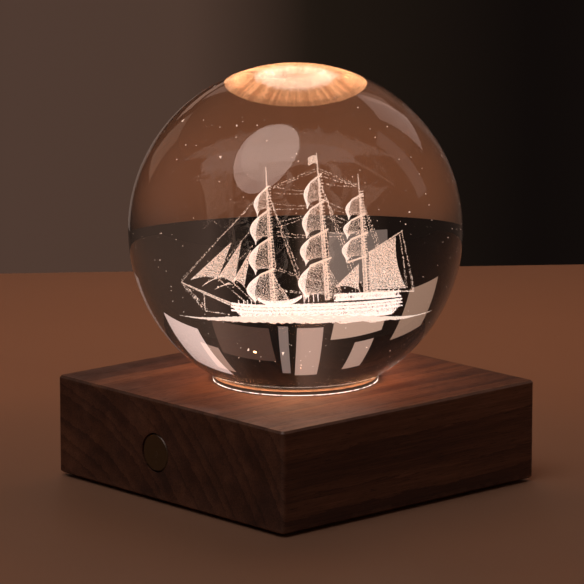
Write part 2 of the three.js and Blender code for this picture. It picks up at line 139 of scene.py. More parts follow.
# Finish of each slot: name, colour, roughness, unevenness, scratches, metallic and coat
MOULDED_FINISHES = {
    "white_plastic": ("white_plastic", (0.80, 0.77, 0.72), 0.4, 0.1, 0.2),
    "white_board": ("white_board", (0.78, 0.77, 0.74), 0.5, 0.1, 0.1),
    "steel": ("zinc_plated_steel", (0.55, 0.55, 0.56), 0.35, 0.3, 0.7, 1.0),
    "brown_plastic": ("brown_plastic", (0.095, 0.056, 0.020), 0.42, 0.3, 0.5),
    "black_plastic": ("black_plastic", (0.022, 0.021, 0.020), 0.48, 0.4, 0.4),
    "green_board": ("green_board", (0.018, 0.11, 0.045), 0.35, 0.3, 0.2, 0.0, 0.3),
    "silver_foil": ("laminated_foil", (0.62, 0.64, 0.66), 0.30, 0.4, 0.6, 0.9),
    "foam": ("foam_tape", (0.72, 0.69, 0.62), 0.9, 0.5, 0.0),
    "red_wire": ("red_insulation", (0.45, 0.03, 0.02), 0.4, 0.2, 0.1),
    "black_wire": ("black_insulation", (0.018, 0.018, 0.018), 0.4, 0.2, 0.1),
    "foot_rubber": ("foot_rubber", (0.035, 0.032, 0.030), 0.75, 0.5, 0.1),
}

# Ball
BALL_STEPS = 256
BALL_RINGS = 120
GROUND_BEVEL = 0.0005
GLASS_IOR = 1.52

# Ship: how it stands in the ball
SHIP_HEADING = math.radians(CAMERA_AZIMUTH)
SHIP_PITCH = math.radians(3.5)
SHIP_PITCH_PIVOT = Vector((3.0, 0, -12.0))
YARD_BRACE = math.radians(19)
DECK_HEIGHT = -11.0
SEA_LEVEL = -14.4
SEA_LAYERS = 5

# Laser marks: two sizes, and how far below the ball's centre they are brightest and how far up it fades
FINE_MARK = 0.000055
COARSE_MARK = 0.00008
GLOW_DEPTH = 16.0
GLOW_REACH = 14.0

# Each kind of mark: its colour far from the lamp, its colour near it, and its strength
MARK_GLOWS = {
    "sail_marks": ((0.94, 0.61, 0.46), (1.0, 0.80, 0.69), 1.3),
    "edge_marks": ((0.95, 0.74, 0.62), (1.0, 0.86, 0.78), 1.2),
    "hull_marks": ((0.90, 0.66, 0.54), (1.0, 0.84, 0.77), 1.28),
    "sea_marks": ((0.88, 0.60, 0.47), (1.0, 0.80, 0.69), 0.98),
    "line_marks": ((0.86, 0.56, 0.42), (1.0, 0.77, 0.64), 1.15),
}

# Each cloud of marks: how many to a square millimetre, their size and the seed that scatters them
CLOUDS = {
    "engraved_fore_sails": (48, FINE_MARK, 0),
    "engraved_main_sails": (48, FINE_MARK, 1),
    "engraved_mizzen_sails": (48, FINE_MARK, 2),
    "engraved_weather_edges": (170, FINE_MARK, 9),
    "engraved_fore_and_aft_sails": (230, FINE_MARK, 11),
    "engraved_hull": (90, COARSE_MARK, 21),
    "engraved_deck_gear": (150, COARSE_MARK, 31),
    "engraved_sea": (14, COARSE_MARK, 41),
    "engraved_spars": (110, FINE_MARK, 51),
    "engraved_flag": (330, FINE_MARK, 52),
    "engraved_rigging": (16, COARSE_MARK, 61),
    "specks_in_glass": (0.012, COARSE_MARK * 1.5, 71),
}


# ---------------- node helpers


def feed(tree, target, inputs):
    """Gives a node its inputs by name or number: a socket is linked, and anything else is set."""
    for key, value in inputs.items():
        socket = target.inputs[key]
        if isinstance(value, bpy.types.NodeSocket):
            tree.links.new(value, socket)
        elif socket.type == "RGBA":
            socket.default_value = (*value[:3], 1)
        else:
            socket.default_value = value


def node(tree, kind, inputs=None, **settings):
    """A node with its settings and its inputs."""
    made = tree.nodes.new(kind)
    for name, value in settings.items():
        setattr(made, name, value)
    feed(tree, made, inputs or {})
    return made


def maths(tree, operation, first, second=0.0):
    """One Math node's result."""
    inputs = {0: first, 1: second}
    return node(tree, "ShaderNodeMath", inputs, operation=operation).outputs[0]


def vector_maths(tree, operation, first, second):
    """One Vector Math node's result."""
    return node(tree, "ShaderNodeVectorMath", {0: first, 1: second}, operation=operation).outputs[0]


def stretch(tree, vector, factors):
    """A vector multiplied by another, part by part."""
    return vector_maths(tree, "MULTIPLY", vector, factors)


def total(tree, *terms):
    """All the terms added together."""
    result = terms[0]
    for term in terms[1:]:
        result = maths(tree, "ADD", result, term)
    return result


def product(tree, *factors):
    """All the factors multiplied together."""
    result = factors[0]
    for factor in factors[1:]:
        result = maths(tree, "MULTIPLY", result, factor)
    return result


def swing(tree, value, reach):
    """A 0 to 1 value made to swing about zero, over reach."""
    return product(tree, maths(tree, "SUBTRACT", value, 0.5), reach)


def length(tree, vector):
    """A vector's length."""
    return node(tree, "ShaderNodeVectorMath", {0: vector}, operation="LENGTH").outputs["Value"]


def grey(tree, level):
    """A value as a grey colour, or as a vector of three."""
    return node(tree, "ShaderNodeCombineXYZ", {i: level for i in range(3)}).outputs[0]


def mix_colour(tree, share, first, second, blend="MIX"):
    """Two colours mixed by share."""
    inputs = {0: share, 6: first, 7: second}
    return node(tree, "ShaderNodeMix", inputs, data_type="RGBA", blend_type=blend).outputs[2]


def shaded(tree, colour, level):
    """A colour made darker by a level."""
    return mix_colour(tree, 1.0, colour, grey(tree, level), "MULTIPLY")


def span(tree, value, low, high, to_low=0.0, to_high=1.0, smooth=True):
    """value from low..high brought to to_low..to_high, held at the ends."""
    kind = "SMOOTHSTEP" if smooth else "LINEAR"
    inputs = {0: value, 1: low, 2: high, 3: to_low, 4: to_high}
    return node(tree, "ShaderNodeMapRange", inputs, interpolation_type=kind).outputs[0]


def noise(tree, vector, scale=1.0, detail=2.0, roughness=0.5, distortion=0.0):
    """The outputs of a Noise Texture node."""
    inputs = {
        "Vector": vector,
        "Scale": scale,
        "Detail": detail,
        "Roughness": roughness,
        "Distortion": distortion,
    }
    return node(tree, "ShaderNodeTexNoise", inputs).outputs


def colour_ramp(tree, value, stops):
    """A colour ramp through the stops, each a place and a colour."""
    made = node(tree, "ShaderNodeValToRGB", {0: value})
    ramp = made.color_ramp
    while len(ramp.elements) < len(stops):
        ramp.elements.new(0.5)
    for element, (place, colour) in zip(ramp.elements, stops):
        element.position = place
        element.color = (*colour, 1)
    return made.outputs[0]


def millimetres(tree):
    """Object coordinates in millimetres."""
    coordinates = node(tree, "ShaderNodeTexCoord")
    return stretch(tree, coordinates.outputs["Object"], (1000, 1000, 1000))


def shared_group(name, inputs, outputs):
    """An empty shader node group; returns its tree, its inputs and its end node."""
    tree = bpy.data.node_groups.new(name, "ShaderNodeTree")
    for label, kind, value in inputs:
        socket = tree.interface.new_socket(label, in_out="INPUT", socket_type=kind)
        if value is not None:
            socket.default_value = value
    for label, kind in outputs:
        tree.interface.new_socket(label, in_out="OUTPUT", socket_type=kind)
    return tree, node(tree, "NodeGroupInput").outputs, node(tree, "NodeGroupOutput")


def use_group(tree, group, inputs):
    """A shared group placed in a material with its own values; returns its outputs."""
    return node(tree, "ShaderNodeGroup", inputs, node_tree=group).outputs


FLOAT = "NodeSocketFloat"
VECTOR = "NodeSocketVector"
COLOUR = "NodeSocketColor"


# ---------------- shared groups


def make_edge_wear_and_highlight_group():
    """Mask along the edges of a square block, for pale edge wear and a painted highlight on the edges: 1 on
    an edge, 0 past the width, broken up by noise.
    """
    tree, given, out = shared_group(
        "block_edge_wear_and_highlight",
        [
            ("Position", VECTOR, None),
            ("Half Side", FLOAT, 40.0),
            ("Low", FLOAT, 0.0),
            ("High", FLOAT, 24.0),
            ("Width", FLOAT, 1.0),
        ],
        [("Wear And Highlight", FLOAT)],
    )
    position = given["Position"]
    parts = node(tree, "ShaderNodeSeparateXYZ", {0: position}).outputs
    inside = [
        maths(tree, "SUBTRACT", given["Half Side"], maths(tree, "ABSOLUTE", parts[0])),
        maths(tree, "SUBTRACT", given["Half Side"], maths(tree, "ABSOLUTE", parts[1])),
        maths(tree, "SUBTRACT", parts[2], given["Low"]),
        maths(tree, "SUBTRACT", given["High"], parts[2]),
    ]
    upright = total(tree, inside[0], inside[1])
    level = maths(tree, "MINIMUM", inside[2], inside[3])
    side = maths(tree, "MINIMUM", inside[0], inside[1])
    nearest = maths(tree, "MINIMUM", upright, total(tree, level, side))
    broken = noise(tree, position, 0.35, 3.0)[0]
    reach = product(tree, given["Width"], span(tree, broken, 0.3, 0.7, 0.5, 1.5))
    share = maths(tree, "DIVIDE", nearest, reach)
    wear_and_highlight = maths(tree, "SUBTRACT", 1.0, maths(tree, "MINIMUM", share, 1.0))
    feed(tree, out, {"Wear And Highlight": product(tree, wear_and_highlight, broken)})
    return tree


def make_mottle_group():
    """Fine uneven colour, faint scratches and a slight surface, for moulded and plated pieces."""
    tree, given, out = shared_group(
        "mottle_and_scratches",
        [
            ("Colour", COLOUR, (0.5, 0.5, 0.5, 1)),
            ("Roughness", FLOAT, 0.5),
            ("Grain Scale", FLOAT, 1.0),
            ("Unevenness", FLOAT, 0.2),
            ("Scratches", FLOAT, 0.3),
        ],
        [("Colour", COLOUR), ("Roughness", FLOAT), ("Height", FLOAT)],
    )
    position = millimetres(tree)
    scale = given["Grain Scale"]
    cloudy = noise(tree, position, product(tree, scale, 0.35), 4.0)[0]
    fine = noise(tree, position, product(tree, scale, 4.0), 2.0)[0]
    streaks = stretch(tree, position, (0.5, 9.0, 0.5))
    hair = noise(tree, streaks, scale, 3.0, 0.6)[0]
    scratch = product(tree, span(tree, hair, 0.62, 0.70), given["Scratches"])
    light = swing(tree, cloudy, given["Unevenness"])
    colour = shaded(tree, given["Colour"], total(tree, light, 1.0))
    colour = mix_colour(tree, product(tree, scratch, 0.3), colour, SCRATCH_COLOUR)
    rough = total(tree, given["Roughness"], product(tree, scratch, 0.2), swing(tree, fine, 0.15))
    height = maths(tree, "SUBTRACT", product(tree, fine, 0.5), scratch)
    feed(tree, out, {"Colour": colour, "Roughness": rough, "Height": height})
    return tree


def make_walnut_group():
    """Solid walnut with its fibres along Y: growth rings about an axis, fibre, pores and flecks."""
    tree, given, out = shared_group(
        "walnut_figure",
        [
            ("Position", VECTOR, None),
            ("Pith", VECTOR, (-50.0, 0.0, -45.0)),
            ("Ring Width", FLOAT, 4.2),
            ("Waviness", FLOAT, 5.0),
        ],
        [("Colour", COLOUR), ("Pores", FLOAT), ("Height", FLOAT)],
    )
    position = given["Position"]
    slow = stretch(tree, position, (0.030, 0.010, 0.030))
    drift = noise(tree, slow, 1.0, 3.0, 0.5)["Color"]
    drift = vector_maths(tree, "SUBTRACT", drift, (0.5, 0.5, 0.5))
    drift = stretch(tree, drift, grey(tree, given["Waviness"]))
    rough_space = stretch(tree, position, (0.55, 0.05, 0.55))
    ragged = noise(tree, rough_space, 1.0, 4.0, 0.7)["Color"]
    ragged = stretch(tree, ragged, (2.6, 2.6, 2.6))
    warped = vector_maths(tree, "ADD", vector_maths(tree, "ADD", position, drift), ragged)
    from_pith = vector_maths(tree, "SUBTRACT", warped, given["Pith"])
    flat = stretch(tree, from_pith, (1.0, 0.0, 1.0))
    radius = length(tree, flat)
    year = maths(tree, "DIVIDE", radius, given["Ring Width"])
    slow_year = {"W": product(tree, year, 0.45), "Scale": 1.0}
    uneven = node(tree, "ShaderNodeTexNoise", slow_year, noise_dimensions="1D").outputs[0]
    year = total(tree, year, product(tree, uneven, 2.5))
    ring = maths(tree, "FRACT", year)
    late = maths(tree, "POWER", ring, 2.2)
    fibre_space = stretch(tree, position, (2.6, 0.07, 2.6))
    fibre = noise(tree, fibre_space, 1.0, 4.0, 0.65)[0]
    broad_space = stretch(tree, position, (0.16, 0.012, 0.16))
    broad = noise(tree, broad_space, 1.0, 3.0, 0.55)[0]
    pore_space = stretch(tree, position, (5.5, 0.28, 5.5))
    pore = span(tree, noise(tree, pore_space, 1.0, 2.0, 0.5)[0], 0.60, 0.70)
    fleck_space = stretch(tree, position, (1.2, 0.9, 4.5))
    fleck = span(tree, noise(tree, fleck_space, 1.0, 2.0, 0.6)[0], 0.68, 0.76)
    tone = product(tree, maths(tree, "SUBTRACT", 1.0, late), 0.34)
    tone = total(tree, tone, swing(tree, fibre, 1.0), swing(tree, broad, 1.3), 0.30)
    colour = colour_ramp(tree, tone, WALNUT_TONES)
    colour = mix_colour(tree, product(tree, pore, 0.65), colour, PORE_COLOUR)
    colour = mix_colour(tree, product(tree, fleck, 0.25), colour, PALE_WOOD)
    height = maths(tree, "SUBTRACT", product(tree, fibre, 0.35), pore)
    feed(tree, out, {"Colour": colour, "Pores": pore, "Height": height})
    return tree


def make_cloudy_glow_group():
    """The slight cloudiness of a lit diffuser."""
    tree, given, out = shared_group(
        "cloudy_glow",
        [("Colour", COLOUR, (1.0, 0.7, 0.4, 1)), ("Scale", FLOAT, 1.0)],
        [("Colour", COLOUR), ("Roughness", FLOAT)],
    )
    cloud = noise(tree, millimetres(tree), given["Scale"], 3.0)[0]
    colour = shaded(tree, given["Colour"], span(tree, cloud, 0.35, 0.65, 0.8, 1.0))
    feed(tree, out, {"Colour": colour, "Roughness": span(tree, cloud, 0.3, 0.7, 0.5, 0.65)})
    return tree


def make_laser_glow_group():
    """Marks in the glass that catch a light from below: bright at Low, dim past Reach, sparkling."""
    tree, given, out = shared_group(
        "laser_glow",
        [
            ("Dim", COLOUR, (0.9, 0.6, 0.5, 1)),
            ("Bright", COLOUR, (1.0, 0.8, 0.7, 1)),
            ("Low", FLOAT, 40.0),
            ("Reach", FLOAT, 14.0),
        ],
        [("Colour", COLOUR), ("Roughness", FLOAT)],
    )
    position = millimetres(tree)
    height = node(tree, "ShaderNodeSeparateXYZ", {0: position}).outputs[2]
    far = total(tree, given["Low"], given["Reach"])
    near = span(tree, height, given["Low"], far, 1.0, 0.0)
    sparkle = noise(tree, position, 2.5, 2.0)[0]
    share = total(tree, near, span(tree, sparkle, 0.35, 0.7, -0.25, 0.35))
    share = span(tree, share, 0.0, 1.0, smooth=False)
    colour = mix_colour(tree, share, given["Dim"], given["Bright"])
    feed(tree, out, {"Colour": colour, "Roughness": span(tree, sparkle, 0.3, 0.7, 0.55, 0.8)})
    return tree


# ---------------- materials


def new_material(name):
    """A material with one Principled shader; returns the material, its tree and that shader."""
    material = bpy.data.materials.new(name)
    material.use_nodes = True
    tree = material.node_tree
    tree.nodes.clear()
    shader = node(tree, "ShaderNodeBsdfPrincipled")
    out = node(tree, "ShaderNodeOutputMaterial")
    tree.links.new(shader.outputs[0], out.inputs["Surface"])
    return material, tree, shader


def add_bump(tree, shader, height, strength, distance):
    """Gives the shader a bump from a height."""
    bump = node(tree, "ShaderNodeBump", {"Strength": strength, "Distance": distance, "Height": height})
    feed(tree, shader, {"Normal": bump.outputs[0]})


def moulded_material(name, colour, roughness, unevenness, scratches, metallic=0.0, coat=0.0):
    """Plastic, rubber, foil or plated metal with a mottled, faintly scratched surface."""
    material, tree, shader = new_material(name)
    mottle = use_group(
        tree,
        MOTTLE,
        {"Colour": colour, "Roughness": roughness, "Unevenness": unevenness, "Scratches": scratches},
    )
    feed(tree, shader, {"Base Color": mottle["Colour"], "Roughness": mottle["Roughness"]})
    feed(tree, shader, {"Metallic": metallic, "Coat Weight": coat})
    add_bump(tree, shader, mottle["Height"], 0.25, 0.00005)
    return material


def walnut_material():
    """Oiled walnut, a little paler along its edges, partly from wear and partly from a painted highlight
    where the edges catch the light.
    """
    material, tree, shader = new_material("oiled_walnut")
    position = millimetres(tree)
    wood = use_group(tree, WALNUT, {"Position": position})
    block = {
        "Position": position,
        "Half Side": BASE_HIGH.x / MM,
        "Low": BASE_LOW.z / MM,
        "High": BASE_HIGH.z / MM,
        "Width": 1.1,
    }
    edge = use_group(tree, EDGE_WEAR_AND_HIGHLIGHT, block)
    # The pale edges are partly wear and partly a painted highlight along the edges.
    colour = mix_colour(tree, product(tree, edge["Wear And Highlight"], 0.7), wood["Colour"], PALE_WOOD)
    oil = span(tree, noise(tree, position, 0.12, 3.0)[0], 0.3, 0.7, 0.40, 0.52)
    rough = total(tree, oil, product(tree, wood["Pores"], 0.2))
    feed(tree, shader, {"Base Color": colour, "Roughness": rough})
    add_bump(tree, shader, wood["Height"], 0.35, 0.00006)
    return material


def glass_material():
    """Clear polished glass with a few faint smears."""
    material, tree, shader = new_material("polished_crystal")
    stretched = stretch(tree, millimetres(tree), (0.05, 0.05, 0.11))
    smear = noise(tree, stretched, 1.0, 4.0)[0]
    feed(tree, shader, {"Base Color": (0.985, 0.98, 0.975), "Transmission Weight": 1.0})
    feed(tree, shader, {"IOR": GLASS_IOR, "Roughness": span(tree, smear, 0.60, 0.80, 0.0, 0.012)})
    return material


def ground_flat_material():
    """The ball's ground underside, which the lamp below lights up: a pale disc in an orange field."""
    material, tree, shader = new_material("ground_glass")
    position = millimetres(tree)
    radius = length(tree, stretch(tree, position, (1, 1, 0)))
    ragged = noise(tree, position, 0.9, 4.0, 0.7)[0]
    shifted = total(tree, radius, span(tree, ragged, 0.3, 0.7, -0.8, 0.8))
    facing = node(tree, "ShaderNodeLayerWeight", {"Blend": 0.5}).outputs["Facing"]
    window = WINDOW_HIGH.x / MM
    disc = span(tree, shifted, 1.22 * window, 1.50 * window, 1.0, 0.0)
    disc = product(tree, disc, span(tree, facing, 0.425, 0.462, 1.0, 0.0))
    parts = node(tree, "ShaderNodeSeparateXYZ", {0: position}).outputs
    angle = product(tree, maths(tree, "ARCTAN2", parts[0], parts[1]), 9.0)
    rays = {"W": angle, "Scale": 1.0, "Detail": 4.0, "Roughness": 0.65}
    ray = node(tree, "ShaderNodeTexNoise", rays, noise_dimensions="1D").outputs[0]
    orange = mix_colour(tree, span(tree, ray, 0.36, 0.62), FLAT_RAY_DARK, FLAT_RAY_LIGHT)
    speckle = span(tree, noise(tree, position, 2.2, 2.0)[0], 0.50, 0.66)
    pale = mix_colour(tree, speckle, FLAT_DISC_DARK, FLAT_DISC_LIGHT)
    shallow = span(tree, facing, 0.412, 0.455, 0.0, 0.62)
    shallow = product(tree, shallow, span(tree, radius, 11.0, 15.5, 1.0, 0.0))
    level = product(
        tree,
        span(tree, shifted, FLAT_RADIUS / MM - 2.2, FLAT_RADIUS / MM - 0.1, 1.0, 0.45),
        maths(tree, "SUBTRACT", 1.0, shallow),
        span(tree, radius, 6.5, 9.0, 0.5, 1.0),
        span(tree, facing, 0.50, 0.64, 1.0, 0.05),
    )
    glow = shaded(tree, mix_colour(tree, disc, orange, pale), level)
    rough = span(tree, ragged, 0.3, 0.7, 0.5, 0.75)
    # Painted glow: the lamp's light through the ground flat is painted in as emission, brightest as a pale
    # disc over the window and dimmer at grazing views.
    feed(tree, shader, {"Emission Color": glow, "Emission Strength": 8.6})
    feed(tree, shader, {"Base Color": (0.7, 0.66, 0.62), "Roughness": rough})
    add_bump(tree, shader, ragged, 0.3, 0.00004)
    material.cycles.emission_sampling = "NONE"
    return material


def glowing_ring_material():
    """Clear rubber that carries the lamp's light, brightest in broken dashes where it meets the wood."""
    material, tree, shader = new_material("clear_ring")
    position = millimetres(tree)
    height = node(tree, "ShaderNodeSeparateXYZ", {0: position}).outputs[2]
    low = BASE_HIGH.z / MM
    foot = span(tree, height, low + 0.05, low + 0.22, 1.0, 0.0)
    dashes = span(tree, noise(tree, position, 0.5, 3.0)[0], 0.36, 0.52, 0.25, 1.0)
    glow = mix_colour(tree, product(tree, foot, dashes), RING_DIM, RING_BRIGHT)
    # Painted glow: the lamp's light in the ring is painted in as emission, brightest in dashes at its foot.
    feed(tree, shader, {"Emission Color": glow, "Emission Strength": 2.0})
    feed(tree, shader, {"Base Color": (0.20, 0.13, 0.10), "Roughness": span(tree, dashes, 0, 1, 0.25, 0.4)})
    return material


def glowing_material(name, colour, strength, scale):
    """A lit diffuser: bright, with a slight cloudiness."""
    material, tree, shader = new_material(name)
    cloud = use_group(tree, CLOUDY_GLOW, {"Colour": colour, "Scale": scale})
    feed(tree, shader, {"Emission Color": cloud["Colour"], "Emission Strength": strength})
    feed(tree, shader, {"Base Color": colour, "Roughness": cloud["Roughness"]})
    return material


def laser_mark_material(name, dim, bright, strength):
    """Fractured glass that catches the lamp's light."""
    material, tree, shader = new_material(name)
    lowest = BALL_CENTRE.z / MM - GLOW_DEPTH
    glow = use_group(tree, LASER_GLOW, {"Dim": dim, "Bright": bright, "Low": lowest, "Reach": GLOW_REACH})
    feed(tree, shader, {"Emission Color": glow["Colour"], "Emission Strength": strength})
    feed(tree, shader, {"Base Color": (0.12, 0.09, 0.075), "Roughness": glow["Roughness"]})
    feed(tree, shader, {"Specular IOR Level": 0.0})
    material.cycles.emission_sampling = "NONE"
    return material


def floor_material():
    """A plain pale surface with the faintest unevenness."""
    material, tree, shader = new_material("pale_floor")
    cloud = noise(tree, millimetres(tree), 0.02, 3.0)[0]
    darker = tuple(part * 0.93 for part in FLOOR_COLOUR)
    feed(tree, shader, {"Base Color": mix_colour(tree, cloud, darker, FLOOR_COLOUR), "Roughness": 0.55})
    return material


EDGE_WEAR_AND_HIGHLIGHT = make_edge_wear_and_highlight_group()
MOTTLE = make_mottle_group()
WALNUT = make_walnut_group()
CLOUDY_GLOW = make_cloudy_glow_group()
LASER_GLOW = make_laser_glow_group()


def slot_materials():
    """The finish for each of the record's material slots that a CAD node shows."""
    finishes = {slot: moulded_material(*look) for slot, look in MOULDED_FINISHES.items()}
    finishes["clear_rubber"] = glowing_ring_material()
    finishes["walnut"] = walnut_material()
    finishes["frosted_window"] = glowing_material("lit_window", (1.0, 0.66, 0.42), 3.2, 0.4)
    finishes["phosphor"] = glowing_material("phosphor", (1.0, 0.62, 0.25), 6.0, 1.5)
    return finishes


def dress_nodes():
    """Gives each CAD node the finish its slot names; the ball has a piece of its own."""
    finishes = slot_materials()
    for part in frame["record"]["subparts"]:
        if part["material_slot"] not in finishes:
            continue
        mesh = frame["nodes"][part["node"]]
        finish = finishes[part["material_slot"]]
        if not mesh.material_slots:
            mesh.data.materials.append(finish)
        for place in mesh.material_slots:
            place.material = finish


# ---------------- pieces


def new_piece(name, work, materials, body=None):
    """A linked object made from a bmesh, riding on a body."""
    mesh = bpy.data.meshes.new(name)
    work.to_mesh(mesh)
    work.free()
    for material in materials:
        mesh.materials.append(material)
    piece = bpy.data.objects.new(name, mesh)
    bpy.context.collection.objects.link(piece)
    if body:
        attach(piece, body)
    return piece


def let_light_through(piece):
    """Keeps a clear piece from shading the wood and the floor."""
    piece.visible_shadow = False
    piece.visible_diffuse = False


def make_ball():
    """The smooth glass ball with its ground flat, turned from a profile."""
    work = bmesh.new()
    low_angle = math.asin((SEAT_HEIGHT - BALL_CENTRE.z + GROUND_BEVEL) / BALL_RADIUS)
    angles = [low_angle + (math.pi / 2 - low_angle) * i / BALL_RINGS for i in range(BALL_RINGS)]
    profile = [(0, SEAT_HEIGHT), (FLAT_RADIUS - GROUND_BEVEL, SEAT_HEIGHT)]
    for angle in angles:
        height = BALL_CENTRE.z + BALL_RADIUS * math.sin(angle)
        profile.append((BALL_RADIUS * math.cos(angle), height))
    profile.append((0, BALL_CENTRE.z + BALL_RADIUS))
    verts = [work.verts.new((radius, 0, height)) for radius, height in profile]
    for first, second in zip(verts, verts[1:]):
        work.edges.new((first, second))
    bmesh.ops.spin(
        work,
        geom=work.verts[:] + work.edges[:],
        cent=(0, 0, 0),
        axis=(0, 0, 1),
        angle=FULL_TURN,
        steps=BALL_STEPS,
        use_merge=True,
    )
    bmesh.ops.remove_doubles(work, verts=work.verts, dist=1e-7)
    bmesh.ops.recalc_face_normals(work, faces=work.faces)
    for face in work.faces:
        ground = face.calc_center_median().z < SEAT_HEIGHT + GROUND_BEVEL
        face.material_index = 1 if ground else 0
        face.smooth = face.normal.z > -0.99
    for edge in work.edges:
        edge.smooth = edge.calc_face_angle(0) < math.radians(20)
    piece = new_piece("engraved_ball", work, [glass_material(), ground_flat_material()], "ball")
    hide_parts("crystal_ball")
    let_light_through(piece)


# ---------------- engraving


def make_laser_mark_nodes():
    """Geometry nodes that turn surfaces into a cloud of tiny four-sided marks."""
    tree = bpy.data.node_groups.new("laser_marks", "GeometryNodeTree")
    tree.interface.new_socket("Geometry", in_out="INPUT", socket_type="NodeSocketGeometry")
    for label, kind in (("Density", FLOAT), ("Size", FLOAT), ("Seed", "NodeSocketInt")):
        tree.interface.new_socket(label, in_out="INPUT", socket_type=kind)
    tree.interface.new_socket("Geometry", in_out="OUTPUT", socket_type="NodeSocketGeometry")
    given = node(tree, "NodeGroupInput")
    out = node(tree, "NodeGroupOutput")
    surface = {
        "Mesh": given.outputs["Geometry"],
        "Density": given.outputs["Density"],
        "Seed": given.outputs["Seed"],
    }
    points = node(tree, "GeometryNodeDistributePointsOnFaces", surface, distribute_method="RANDOM")
    shape = {
        "Vertices": 3,
        "Radius Top": 0.0,
        "Radius Bottom": given.outputs["Size"],
        "Depth": given.outputs["Size"],
    }
    mark = node(tree, "GeometryNodeMeshCone", shape)
    turns = {0: (0, 0, 0), 1: (FULL_TURN, FULL_TURN, FULL_TURN), "Seed": given.outputs["Seed"]}
    turn = node(tree, "FunctionNodeRandomValue", turns, data_type="FLOAT_VECTOR")
    sizes = {2: 0.6, 3: 1.35, "Seed": given.outputs["Seed"]}
    size = node(tree, "FunctionNodeRandomValue", sizes, data_type="FLOAT")
    placed = node(
        tree,
        "GeometryNodeInstanceOnPoints",
        {
            "Points": points.outputs["Points"],
            "Instance": mark.outputs["Mesh"],
            "Rotation": turn.outputs[0],
            "Scale": size.outputs[1],
        },
    )
    real = node(tree, "GeometryNodeRealizeInstances", {0: placed.outputs[0]})
    tree.links.new(real.outputs[0], out.inputs[0])
    return tree


LASER_MARKS = make_laser_mark_nodes()


def ship_to_ball():
    """From the ship's own frame in millimetres to the lamp's frame in metres."""
    turn = Matrix.Rotation(SHIP_HEADING, 4, "Z")
    return Matrix.Translation(BALL_CENTRE) @ turn @ Matrix.Scale(MM, 4)


def pitched():
    """The ship's lift at the stern, about a point near the waterline."""
    there = Matrix.Translation(SHIP_PITCH_PIVOT)
    return there @ Matrix.Rotation(-SHIP_PITCH, 4, "Y") @ there.inverted()


def add_bake_map(mesh):
    """A map seen from abeam, so that the marks' glow is kept without unwrapping each mark."""
    layer = mesh.uv_layers.new(name="OFBake")
    aft = Vector((math.cos(SHIP_HEADING), math.sin(SHIP_HEADING), 0))
    for loop, place in zip(mesh.loops, layer.data):
        point = mesh.vertices[loop.vertex_index].co - BALL_CENTRE
        place.uv = (0.5 + point.dot(aft) / BALL_RADIUS / 2, 0.5 + point.z / BALL_RADIUS / 2)


def engrave(name, work, material, level=False):
    """Turns the surfaces in work into the named cloud of laser marks; level ones don't pitch."""
    density, size, seed = CLOUDS[name]
    placing = ship_to_ball() if level else ship_to_ball() @ pitched()
    bmesh.ops.transform(work, matrix=placing, verts=work.verts)
    piece = new_piece(name, work, [])
    lasering = piece.modifiers.new("lasering", "NODES")
    lasering.node_group = LASER_MARKS
    values = {"Density": density / MM**2, "Size": size, "Seed": seed}
    for item in LASER_MARKS.interface.items_tree:
        if item.name in values:
            lasering[item.identifier] = values[item.name]
    bpy.context.view_layer.update()
    graph = bpy.context.evaluated_depsgraph_get()
    cloud = bpy.data.meshes.new_from_object(piece.evaluated_get(graph))
    piece.modifiers.clear()
    piece.data = cloud
    cloud.materials.clear()
    cloud.materials.append(material)
    add_bake_map(cloud)
    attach(piece, "ball")
    let_light_through(piece)


def pole(work, start, end, radius, end_radius=None):
    """A round pole from start to end."""
    start, end = Vector(start), Vector(end)
    along = end - start
    turn = along.to_track_quat("Z", "Y").to_matrix().to_4x4()
    bmesh.ops.create_cone(
        work,
        cap_ends=True,
        segments=6,
        radius1=radius,
        radius2=radius if end_radius is None else end_radius,
        depth=along.length,
        matrix=Matrix.Translation((start + end) / 2) @ turn,
    )


def rope(work, start, end, radius=0.06, sag=0.0):
    """A line from start to end that hangs by sag at its middle."""
    start, end = Vector(start), Vector(end)
    pieces = 5 if sag else 1
    points = []
    for i in range(pieces + 1):
        share = i / pieces
        point = start.lerp(end, share)
        point.z -= sag * 4 * share * (1 - share)
        points.append(point)
    for first, second in zip(points, points[1:]):
        pole(work, first, second, radius)


def ladder(work, foot_fore, foot_aft, top, rungs, radius=0.05):
    """Two shrouds that meet at the top, with rungs between them."""
    foot_fore, foot_aft, top = Vector(foot_fore), Vector(foot_aft), Vector(top)
    rope(work, foot_fore, top, radius)
    rope(work, foot_aft, top, radius)
    for i in range(rungs):
        share = (i + 0.5) / rungs * 0.94
        rope(work, foot_fore.lerp(top, share), foot_aft.lerp(top, share), radius)


def sheet(work, columns, rows, shape):
    """A grid bent so that shape(u, v) gives each point, with u and v from 0 to 1."""
    made = bmesh.ops.create_grid(work, x_segments=columns, y_segments=rows, size=1)
    for vert in made["verts"]:
        vert.co = shape((vert.co.x + 1) / 2, (vert.co.y + 1) / 2)


def square_sail(work, edges, name, foot, head, foot_half, head_half, reach):
    """A sail on braced yards, full of wind, and its weather edge; reach is how far it stands forward."""
    belly = 0.74 * reach - 0.22

    def shape(u, v):
        side = 2 * u - 1
        half = foot_half + (head_half - foot_half) * v
        height = foot + (head - foot) * v
        fullness = math.sin(math.pi * min(1.0, 0.06 + 0.92 * v)) ** 0.85
        forward = reach * (0.18 + 0.20 * (1 - v)) + belly * (1 - 0.86 * side**2) * fullness
        along = mast_at(name, height) - forward + side * half * math.sin(YARD_BRACE)
        arch = 0.5 * (1 - side**2) * (1 - v) ** 3
        return Vector((along, side * half * math.cos(YARD_BRACE), height + arch))

    sheet(work, 20, 20, shape)
    sheet(edges, 8, 20, lambda u, v: shape(0.34 * u, v))


